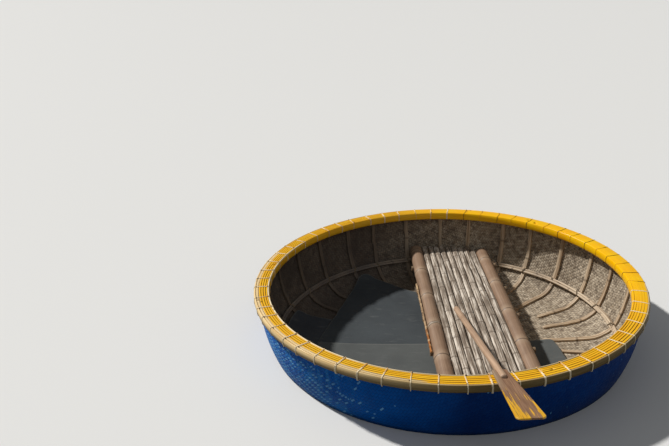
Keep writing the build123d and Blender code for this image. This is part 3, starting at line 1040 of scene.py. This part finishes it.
# Rim lashings: thin cord passed through the weave and drawn round hoops, packing and cap,
# two or three turns about every hand's width. On the far right each is one turn of brown
# cord, and every other one is painted over on its inner half.
lashing_columns = "number bearing slide lean curve painted crown"
tree, given = new_tree(
    "Rim lashings", Float="Inside, Outside, Bottom, Top, Cord, Bow", Material="Material"
)
wide = given["Cord"] * 0.3 + given["Outside"] - given["Inside"]
high = given["Cord"] * 0.7 + given["Top"] - given["Bottom"]
loop = soft_loop(wide, high, 3, 0.0045)
loop = made(tree, "GeometryNodeSubdivideCurve", {"Curve": loop, "Cuts": 2})
turns, across, rise, aside = copies_of(tree, given, cord_round(loop, given["Cord"]))
number, bearing, slide, lean, curve, painted, crown = named(tree, lashing_columns)
out, tall = across * 2 / wide, rise * 2 / high
hug = tall * tall * given["Bow"] * spread(abs(out), 0.8, 1)
reach = across + (given["Outside"] + given["Inside"]) * 0.5 - hug * sign(out)
level = rise + (given["Top"] + given["Bottom"]) * 0.5
level = (1 - out * out) * crown * (rise > 0) + level
waver = fibres(1, across * 40, rise * 40, number)
aside = across * across * curve + (aside + slide + across * lean)
aside = aside + (waver - 0.5) * 0.005
turns = store_map(turns, "cord", join_vector(painted, reach))
end_tree(tree, given, turns, round_place(bearing, reach, level, aside))

lashing_count = 56
first_lashing = -92.7
paddle_bearing = -84
paddle_clear = 2.4
painted_zone = (-12, 80)
pale_zone = (-48, -12)
knot_share = 0.75
knot_size = 0.0036
cream = tying_cord("cream cord", (255, 244, 214), (240, 216, 172), (222, 164, 52))
brown = tying_cord("brown cord", (112, 68, 16), (66, 38, 10), (242, 180, 6))
pale = tying_cord("pale cord", (252, 238, 200), (232, 210, 164))
rng = np.random.default_rng(5)
groups = {
    "cream_lashings": (0.0028, cream, []),
    "brown_lashings": (0.0028, brown, []),
    "pale_lashings": (0.0024, pale, []),
}
knot_places = []
for number in range(lashing_count):
    bearing = (first_lashing + number * 360 / lashing_count + rng.uniform(-0.5, 0.5) + 180) % 360 - 180
    filled = math.cos(math.radians(bearing) - thick_paint_bearing) - paint_thins
    filled = min(max(filled / (paint_thickens - paint_thins), 0), 1)
    lean, curve, painted, crown = rng.uniform(-0.14, 0.14), 0, 0, filled * rim_crown
    if painted_zone[0] < bearing < painted_zone[1]:
        name, turns_here, painted, curve, crown = "brown_lashings", 1, number % 2, 3.5, rim_crown
    elif pale_zone[0] < bearing <= pale_zone[1]:
        name, turns_here = "pale_lashings", 3
    else:
        name, turns_here, painted = "cream_lashings", int(rng.integers(2, 4)), rng.uniform(0, 0.8)
    if abs(bearing - paddle_bearing) < paddle_clear:
        continue
    thickness, _, rows = groups[name]
    for turn in range(turns_here):
        slide = (turn - (turns_here - 1) / 2) * thickness * rng.uniform(0.96, 1.1)
        own_lean = lean + rng.uniform(-0.012, 0.012)
        rows.append((number, math.radians(bearing), slide, own_lean, curve, painted, crown))
    if name == "cream_lashings" and rng.uniform() < knot_share:
        for radius in (cap_inner - 0.0005, cap_outer + 0.0005):
            shift = math.radians(bearing) + rng.uniform(-0.004, 0.004)
            knot_places.append((radius * math.cos(shift), radius * math.sin(shift), rim_top + 0.0008))
for name, (thickness, material, rows) in groups.items():
    lashing = grow(
        name,
        tree,
        rows,
        lashing_columns,
        Inside=rim_inside,
        Outside=rim_outside,
        Bottom=reach_of("rim_inner_hoop")[2],
        Top=cap_high,
        Cord=thickness,
        Bow=hoop_bow * 0.85,
        Material=material,
    )
    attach(lashing, "root")

tree, given = new_tree("Rim knots", Float="Size", Int="Seed", Material="Material")
knob = made(tree, "GeometryNodeMeshIcoSphere", {"Radius": given["Size"], "Subdivisions": 2})
turned = {"Min": (0, 0, 0), "Max": (3.1, 3.1, 3.1), "Seed": given["Seed"]}
turned = made(tree, "FunctionNodeRandomValue", turned, data_type="FLOAT_VECTOR")
knots = copies_of(tree, given, knob, Rotation=turned, Scale=(1, 1.5, 0.8))[0]
end_tree(tree, given, knots, inside_out=False)
knots = grow(
    "lashing_knots",
    tree,
    knot_places,
    places=knot_places,
    Size=knot_size,
    Seed=4,
    Material=tying_cord("dark cord", (108, 70, 32), (54, 34, 16)),
)
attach(knots, "root")


# Seat: two thick culms with round rungs through them stand on the waist hoop. The left one
# carries a frayed split along its outer side, on the rungs' ends, and one tie of white cord.
def culm_bamboo(name, ring_places):
    """Smooth tan skin of a culm, with a dark ring and pale bloom at each node."""
    material, tree = new_material(name, 0.5)
    place = here(tree)
    _, y, _ = split_vector(place)
    streak = stretched(place, (130, 3, 130), 4)
    broad = cloud(place, 7, 4)
    bare = tint(spread(streak, 0.3, 0.7), (130, 102, 80), (160, 132, 108))
    bare = tint(spread(broad, 0.5, 0.75, 0, 0.55), bare, (112, 86, 66))
    nearest = 9.0
    for ring in ring_places:
        nearest = smaller(nearest, abs(y - ring))
    bare = tint(spread(nearest, 0.012, 0.06, 0.45, 0), bare, (184, 160, 134))
    ring = spread(nearest, 0.003, 0.007, 1, 0)
    bare = tint(ring * 0.75, bare, (82, 60, 44))
    return coat(material, bare, ring * -0.8 + streak, 0.0008)


def rung_bamboo():
    """Bare round bamboo, with its fibres from left to right."""
    material, tree = new_material("rung bamboo", 0.6)
    streak = stretched(here(tree), (3, 120, 120), 4)
    bare = tint(spread(streak, 0.3, 0.7), (106, 86, 64), (156, 130, 102))
    bare = tint(spread(cloud(here(tree), 6, 4), 0.46, 0.75, 0, 0.7), bare, (72, 62, 52))
    return coat(material, bare, streak, 0.0008)


recoat("seat_left_culm", culm_bamboo("left culm bamboo", (-0.8, -0.455, -0.11, 0.245, 0.6, 0.93)))
recoat("seat_right_culm", culm_bamboo("right culm bamboo", (-0.69, -0.33, 0.02, 0.39, 0.745)))
recoat("seat_rungs", rung_bamboo())

culm_low, culm_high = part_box("seat_left_culm")
culm_across = (culm_low.x + culm_high.x) / 2
culm_height = (culm_low.z + culm_high.z) / 2
culm_radius = 0.044
culm_tie_place = -0.125
culm_tie_cord = 0.0034

tree, given = new_tree("Culm tie", Float="Around, Cord", Material="Material")
loop = {"Resolution": 48, "Radius": given["Cord"] * 0.35 + given["Around"]}
loop = made(tree, "GeometryNodeCurvePrimitiveCircle", loop)
cord = cord_round(loop, given["Cord"])
tied, across, place, rise = copies_of(tree, given, cord, Rotation=(math.pi / 2, 0, 0))
place = (across - culm_across) * named(tree, "lean")[0] + place
end_tree(tree, given, tied, join_vector(across, place, rise), inside_out=False)
tie_steps = (0, 1.05, 2.0)
tie_places = [(culm_across, culm_tie_place + step * culm_tie_cord, culm_height) for step in tie_steps]
culm_tie = grow(
    "culm_tie",
    tree,
    [(lean,) for lean in (0.22, 0.2, 0.25)],
    "lean",
    tie_places,
    Around=culm_radius,
    Cord=culm_tie_cord,
    Material=tying_cord("white cord", (216, 204, 186), (172, 156, 134)),
)
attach(culm_tie, "root")


def frayed_skin():
    """Orange-brown split whose skin has peeled into pale fibres."""
    material, tree = new_material("frayed split", 0.6)
    place = here(tree)
    streak = stretched(place, (260, 14, 260), 4)
    patch = cloud(place, 26, 3)
    near_end = spread(patch * 0.2 + split_vector(place)[1], 0.02, -0.14)
    bare = tint(spread(streak, 0.38, 0.6), (118, 90, 62), (178, 146, 108))
    stained = tint(spread(streak, 0.38, 0.6), (110, 60, 18), (190, 116, 36))
    shade = tint(near_end, bare, stained)
    shade = tint(spread(patch, 0.5, 0.62, 0, 0.85), shade, (206, 176, 134))
    return coat(material, shade, streak, 0.0016)


rung_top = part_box("seat_rungs")[1].z
edge_from, edge_to = -0.405, 0.42
edge_middle = culm_across - culm_radius - 0.0082
edge_side = culm_across - culm_radius - 0.0125
edge_split = bmesh.new()
section = [(-0.0062, 0), (0.0058, 0), (0.0062, 0.004), (0.004, 0.0085), (0, 0.01)]
section += [(-0.004, 0.0085), (-0.0064, 0.004)]
rows = []
for y in np.linspace(edge_from, edge_to, 120):
    bend = 0.0012 * noise.noise(Vector((y * 7, 0, 3)))
    row = []
    for n, (x, z) in enumerate(section):
        rough = 0.0016 * noise.noise(Vector((y * 34, 9 * n, 1)))
        tall = 1 + 0.3 * noise.noise(Vector((y * 30, n, 5)))
        place = (edge_middle + bend + x + rough, y, rung_top + touching_gap + z * tall)
        row.append(edge_split.verts.new(place))
    rows.append(row)
skin_over(edge_split, rows)
rng = np.random.default_rng(8)
for fibre in range(46):
    y = rng.uniform(edge_from + 0.03, edge_to - 0.03)
    length, out, up = rng.uniform(0.02, 0.055), rng.uniform(0.002, 0.009), rng.uniform(-0.004, 0.009)
    start = Vector((edge_side, y, rung_top + rng.uniform(0.002, 0.008)))
    rings = []
    for step in range(4):
        share, thin = step / 3, 0.0008 * (1.15 - step / 3)
        tip = start + Vector((-out * share**2, -length * share, up * share**2))
        round_tip = [Vector((thin * math.cos(a), 0, thin * math.sin(a))) for a in (0.5, 2.6, 4.7)]
        rings.append([edge_split.verts.new(tip + corner) for corner in round_tip])
    skin_over(edge_split, rings)
bmesh.ops.recalc_face_normals(edge_split, faces=edge_split.faces)
frayed = placed("seat_edge_split", edge_split)
frayed.data.materials.append(frayed_skin())
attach(frayed, "root")


# Seat slats: half-round splits with their skin side up, laid along the rungs, cut round at
# their ends, and bleached and furrowed by the sun.
joint_every = 0.31


def slat_skin():
    """Bleached split: long pale streaks, grey-brown furrows and stains at its nodes."""
    material, tree = new_material("slat bamboo", 0.68)
    along, across = uv_parts(tree, "grain")
    number = whole(across / 0.5)
    luck = chance(number, 4, 1)
    streak = cloud(join_vector(along * 5, across * 150, luck), 1, 3, 0.55)
    furrow = fibres(3, along * 16, across * 620, luck)
    blotch = cloud(here(tree), 22, 4)
    shade = tint(luck, (134, 119, 102), (172, 157, 140))
    shade = tint(spread(streak, 0.5, 0.6), shade, (226, 214, 198))
    shade = tint(spread(streak, 0.46, 0.37, 0, 0.85), shade, (92, 76, 62))
    shade = tint(spread(furrow, 0.54, 0.7, 0, 0.5), shade, (78, 66, 55))
    shade = tint(spread(blotch, 0.5, 0.7, 0, 0.5), shade, (106, 92, 78))
    from_joint = abs(fract(number * 0.37 + along / joint_every) - 0.5)
    shade = tint(spread(from_joint, 0.012, 0.026, 1, 0) * 0.6, shade, (84, 68, 54))
    return coat(material, shade, furrow * -0.7 + streak, 0.0022)


slat_columns = "number middle width near length"
tree, given = new_tree("Seat slats", Object="Blank", Float="Bottom", Material="Material")
laid, run, cross, rise = copies_of(tree, given)
number, middle, width, near, length = named(tree, slat_columns)
place = run * length + near
blunt = 1 - smaller(smaller(run, 1 - run) * length / 0.014, 1)
rounding = square_root(larger(1 - blunt * blunt, 0.02))
crook = fibres(1, place * 1.6, number * 5.3) * 0.006 - 0.003
swell = fibres(2, place * 5, number * 2.9, 4)
across = cross * width * rounding * ((swell - 0.5) * 0.3 + 1)
from_joint = abs(fract(number * 0.37 + place / joint_every) - 0.5)
joint = spread(from_joint, 0.0, 0.05, 1, 0)
level = rise * (joint * 0.14 + (rounding * 0.3 + 0.7)) + given["Bottom"]
laid = store_map(laid, "grain", join_vector(place, number * 0.5 + 0.25 + cross * 0.036))
end_tree(tree, given, laid, join_vector(across + middle + crook, place, level))


def half_round_blank(name, height, stations):
    """Closed strip one unit long and wide, flat below and round above."""
    arch = [math.radians(turn) for turn in range(0, 181, 20)]
    section = [(math.cos(turn) / 2, height * (0.25 + 0.75 * math.sin(turn))) for turn in arch]
    return blank_of(name, [(0.46, 0)] + section + [(-0.46, 0)], stations)


slat_low, slat_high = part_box("seat_slats")
rows = []
for number, points in enumerate(solids_of("seat_slats")):
    low, high = points.min(axis=0), points.max(axis=0)
    rows.append((number, (low[0] + high[0]) / 2, high[0] - low[0], low[1], high[1] - low[1]))
near_end, far_end = [0, 0.002, 0.005, 0.008], [0.992, 0.995, 0.998, 1]
stations = np.concatenate([near_end, np.linspace(0.015, 0.985, 60), far_end])
slat_blank = half_round_blank("slat blank", slat_high.z - slat_low.z, stations)
slats = grow(
    "slat_splits", tree, rows, slat_columns, Blank=slat_blank, Bottom=slat_low.z, Material=slat_skin()
)
bpy.data.objects.remove(slat_blank)
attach(slats, "root")
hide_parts("seat_slats")


# Mats: three sheets of old rubber laid over the ribs and lapped on each other. They sink a
# little between the ribs, and their edges climb the turn of the bilge.
wall_normal = (outer_line - wall_line(0.001)) / 0.001
mat_thickness = 0.004
mat_lap = 0.0044
mat_top = -0.046
mat_spacing = 0.016
mat_border = 0.007
outline_step = 0.012
curl_reach = 0.16
rib_bearings = [row[1] for row in rib_rows]


def on_lining(along, depth):
    """Radius and height of a point this far along the wall's line and this deep inside its face."""
    place = [np.interp(along, heights, outer_line[:, axis]) for axis in (0, 1)]
    lean = [np.interp(along, heights, wall_normal[:, axis]) for axis in (0, 1)]
    return place[0] - depth * lean[0], place[1] - depth * lean[1]


def mat_sink(x, y):
    """How far the mats stand above their lowest lie at this place, the same for all three."""
    reach, turn = math.hypot(x, y), math.atan2(y, x)
    to_rib = min(abs((turn - rib + math.pi) % (2 * math.pi) - math.pi) for rib in rib_bearings) * reach
    between = min(max((to_rib - 0.012) / 0.05, 0), 1)
    inner = min(max((0.64 - reach) / 0.1, 0), 1)
    droop = 0.0045 * between**2 * (1 - inner) + 0.005 * inner
    slow = noise.noise(Vector((x * 2.3, y * 2.3, 4)))
    quick = noise.noise(Vector((x * 7, y * 7, 9)))
    return 0.0028 + 0.0022 * slow + 0.001 * quick - droop


def cut_outline(corners, rounds, limit):
    """Evenly spaced points round a mat, with softened corners, cut off where it meets the hoop."""
    points = []
    for start, end in zip(corners, corners[1:] + corners[:1]):
        steps = math.ceil(math.dist(start, end) / outline_step)
        points += [Vector(start).lerp(Vector(end), step / steps) for step in range(steps)]
    held = [point * min(1, limit / point.length) for point in points]
    outline = [held[0]]
    for point in held[1:]:
        if (point - outline[-1]).length > outline_step * 2 / 3:
            outline.append(point)
    if (outline[-1] - outline[0]).length < outline_step * 2 / 3:
        outline.pop()
    for _ in range(rounds):
        sides = zip(outline[-1:] + outline[:-1], outline, outline[1:] + outline[:1])
        outline = [(before + point * 2 + after) / 4 for before, point, after in sides]
    return outline


def mat_net(outline):
    """Points inside a mat's outline, joined into triangles that all turn the same way."""
    count = len(outline)
    border = []
    for n in range(count):
        ahead = (outline[(n + 1) % count] - outline[n - 1]).normalized()
        border.append(outline[n] + Vector((-ahead.y, ahead.x)) * mat_border)
    edge = np.array([point[:] for point in outline])
    after = np.roll(edge, -1, axis=0)
    loose = []
    low, high = edge.min(axis=0), edge.max(axis=0)
    for x in np.arange(low[0], high[0], mat_spacing):
        for y in np.arange(low[1], high[1], mat_spacing):
            crosses = (edge[:, 1] > y) != (after[:, 1] > y)
            span = np.where(crosses, after[:, 1] - edge[:, 1], 1)
            meets = edge[:, 0] + (y - edge[:, 1]) * (after[:, 0] - edge[:, 0]) / span
            clear = np.hypot(edge[:, 0] - x, edge[:, 1] - y).min() > mat_spacing
            if np.sum(crosses & (meets > x)) % 2 and clear:
                loose.append(Vector((x, y)))
    ties = [(n, (n + 1) % count) for n in range(count)]
    net = geometry.delaunay_2d_cdt(outline + border + loose, ties, [list(range(count))], 1, 1e-6)
    plan, faces = net[0], net[2]
    turned = [(plan[b] - plan[a]).cross(plan[c] - plan[a]) > 0 for a, b, c in faces]
    return edge, plan, [(a, b, c) if up else (a, c, b) for (a, b, c), up in zip(faces, turned)]


def mat_sheet(name, corners, layer, curl, material):
    """Sheet that lies on the ribs or on the mat below, as a closed mesh, with its flat size and area."""
    inset = waist_inset + touching_gap + layer * mat_lap
    lining = np.array([on_lining(along, inset) for along in heights])
    limit = float(np.interp(mat_top, lining[rising, 1], lining[rising, 0]))
    edge, plan, faces = mat_net(cut_outline(corners, 9, limit))
    sheet = bmesh.new()
    tops, bottoms, from_edge, unrolled = [], [], [], []
    for point in plan:
        along = float(np.interp(point.length, lining[:, 0], heights))
        turn = math.atan2(point.y, point.x)
        near_curl = max(0, 1 - math.dist(curl[0], point[:]) / curl_reach)
        raised = mat_sink(point.x, point.y) + curl[1] * near_curl**2
        for depth, pile in ((inset + raised + mat_thickness, tops), (inset + raised, bottoms)):
            radius, height = on_lining(along, depth)
            pile.append(sheet.verts.new((radius * math.cos(turn), radius * math.sin(turn), height)))
        from_edge.append(float(np.hypot(edge[:, 0] - point.x, edge[:, 1] - point.y).min()))
        unrolled.append((along * math.cos(turn), along * math.sin(turn)))
    for corner_numbers in faces:
        sheet.faces.new([tops[n] for n in corner_numbers])
        sheet.faces.new([bottoms[n] for n in corner_numbers[::-1]])
    sheet.verts.index_update()
    # Tops and bottoms take turns in the mesh, so the tops have the even numbers.
    for rim_edge in [e for e in sheet.edges if e.is_boundary]:
        loop = rim_edge.link_loops[0]
        first, second = loop.vert.index, loop.link_loop_next.vert.index
        if first % 2 == second % 2 == 0:
            first, second = first // 2, second // 2
            sheet.faces.new((tops[second], tops[first], bottoms[first], bottoms[second]))
    edge_map = sheet.loops.layers.uv.new("edge")
    for face in sheet.faces:
        face.smooth = abs(face.normal.z) > 0.5 or len(face.verts) == 3
        for loop in face.loops:
            loop[edge_map].uv = (from_edge[loop.vert.index // 2], 0)
    unrolled = np.array(unrolled)
    sides = [(unrolled[b] - unrolled[a], unrolled[c] - unrolled[a]) for a, b, c in faces]
    area = 0.5 * abs(sum(one[0] * other[1] - one[1] * other[0] for one, other in sides))
    spans = np.ptp(unrolled, axis=0)
    mat = placed(name, sheet)
    mat.data.materials.append(material)
    return mat, (float(spans[0]), float(spans[1])), float(area)


def mat_rubber(name, dark, dusty):
    """Matt rubber sheet with dust, scuffs, and a pale edge that is partly wear and partly a painted
    highlight.
    """
    material, tree = new_material(name, 0.78)
    place = here(tree)
    from_edge, _ = uv_parts(tree, "edge")
    broad = cloud(place, 3.0, 4)
    scuff = stretched(place, (9, 26, 9), 4)
    fine = cloud(place, 140, 3)
    dust = spread(broad, 0.3, 0.7, 0.25, 1) * spread(fine, 0.25, 0.7, 0.6, 1)
    shade = tint(dust, dark, dusty)
    shade = tint(spread(scuff, 0.58, 0.74, 0, 0.3), shade, (108, 110, 108))
    # Pale edge: partly wear and partly a painted highlight where the edge would catch the light.
    shade = tint(spread(from_edge, 0.0075, 0.0, 0, 0.6), shade, (124, 124, 118))
    return coat(material, shade, broad * 4 + fine, 0.0005)


mat_finishes = {
    "mat_left": mat_rubber("left mat rubber", (46, 50, 56), (66, 70, 75)),
    "mat_far": mat_rubber("far mat rubber", (46, 51, 55), (68, 74, 77)),
    "mat_near": mat_rubber("near mat rubber", (66, 69, 69), (94, 97, 95)),
}
# Columns: node, corners in plan, corner that curls up and how far, and what the mat lies on
mat_rows = [
    (
        "mat_left",
        [(-1.1, 0.436), (-1.1, -0.7), (-0.43, -0.7), (-0.56, 0.24)],
        ((-0.56, 0.24), 0.0),
        ["ribs"],
    ),
    (
        "mat_far",
        [(-0.461, 0.89), (-0.8, -0.12), (0.44, -0.14), (0.5, 0.17)],
        ((0.5, 0.17), 0.006),
        ["mat_left", "ribs"],
    ),
    (
        "mat_near",
        [(-0.76, -0.01), (-0.62, -0.82), (0.7, -0.76), (0.64, -0.05)],
        ((-0.76, -0.01), 0.012),
        ["mat_far", "ribs"],
    ),
]
for layer, (node, corners, curl, under) in enumerate(mat_rows):
    mat, flat_size, flat_area = mat_sheet(node + "_sheet", corners, layer, curl, mat_finishes[node])
    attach(mat, "root")
    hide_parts(node)


# Paddle: a round shaft of light wood let into a rough plank, laid across the rim and the
# seat. The plank's yellow paint is left along its edges and in runs down its face.
shaft_points = np.array([v.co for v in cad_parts["paddle_shaft"].data.vertices])
blade_points = np.array([v.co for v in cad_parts["paddle_blade"].data.vertices])
shaft_middle = shaft_points.mean(axis=0)
shaft_ahead = np.linalg.svd(shaft_points - shaft_middle, full_matrices=False)[2][0]
shaft_ahead = shaft_ahead * -np.sign(shaft_ahead[1])
blade_side = np.cross((0, 0, 1), shaft_ahead)
blade_side = blade_side / np.linalg.norm(blade_side)
blade_up = np.cross(shaft_ahead, blade_side)
blade_start = float((blade_points @ shaft_ahead).min())
blade_middle = float(shaft_middle @ blade_side)


def plank_axes(tree):
    """Place on the paddle: along it from the blade's root, across it and through it."""
    parts = []
    for axis, start in ((shaft_ahead, blade_start), (blade_side, blade_middle), (blade_up, 0.0)):
        dot = {0: here(tree), 1: tuple(float(v) for v in axis)}
        parts.append(made(tree, "ShaderNodeVectorMath", dot, "Value", operation="DOT_PRODUCT") - start)
    return parts


def shaft_wood():
    """Smooth light wood, darker where hands have held it."""
    material, tree = new_material("shaft wood", 0.48)
    along, across, through = plank_axes(tree)
    streak = fibres(4, along * 4, across * 160, through * 160)
    broad = cloud(here(tree), 6, 3)
    shade = tint(spread(streak, 0.3, 0.7), (160, 130, 106), (204, 172, 142))
    shade = tint(spread(broad, 0.5, 0.72, 0, 0.5), shade, (138, 108, 84))
    return coat(material, shade, streak, 0.0005)


def blade_wood():
    """Rough brown plank with what is left of its yellow paint."""
    material, tree = new_material("blade wood", 0.62)
    along, across, through = plank_axes(tree)
    streak = fibres(4, along * 7, across * 240, through * 240)
    runs = fibres(3, along * 5, across * 105, through)
    wood = tint(spread(streak, 0.3, 0.7), (106, 72, 50), (158, 122, 92))
    left = spread(across, -0.012, -0.042)
    right = spread(across, 0.022, 0.05)
    root = spread(along, 0.26, 0.05)
    wood = tint(left * root * 0.8, wood, (176, 158, 132))
    share = spread(along, 0.14, 0.5) * 0.32 + larger(left, right * 0.75) * 0.22
    share = share + (streak * 0.3 + runs) - (root * 0.12 + 0.035)
    painted = spread(share, 0.94, 0.99)
    paint = tint(spread(streak, 0.3, 0.7), (208, 148, 12), (240, 186, 34))
    shade = tint(painted, wood, paint)
    return coat(material, shade, painted * 0.4 + streak, 0.0012, spread(painted, 0, 1, 0.66, 0.36))


recoat("paddle_shaft", shaft_wood())
recoat("paddle_blade", blade_wood())

for guide in (wall_guide, rib_blank, waist_blank):
    bpy.data.objects.remove(guide)
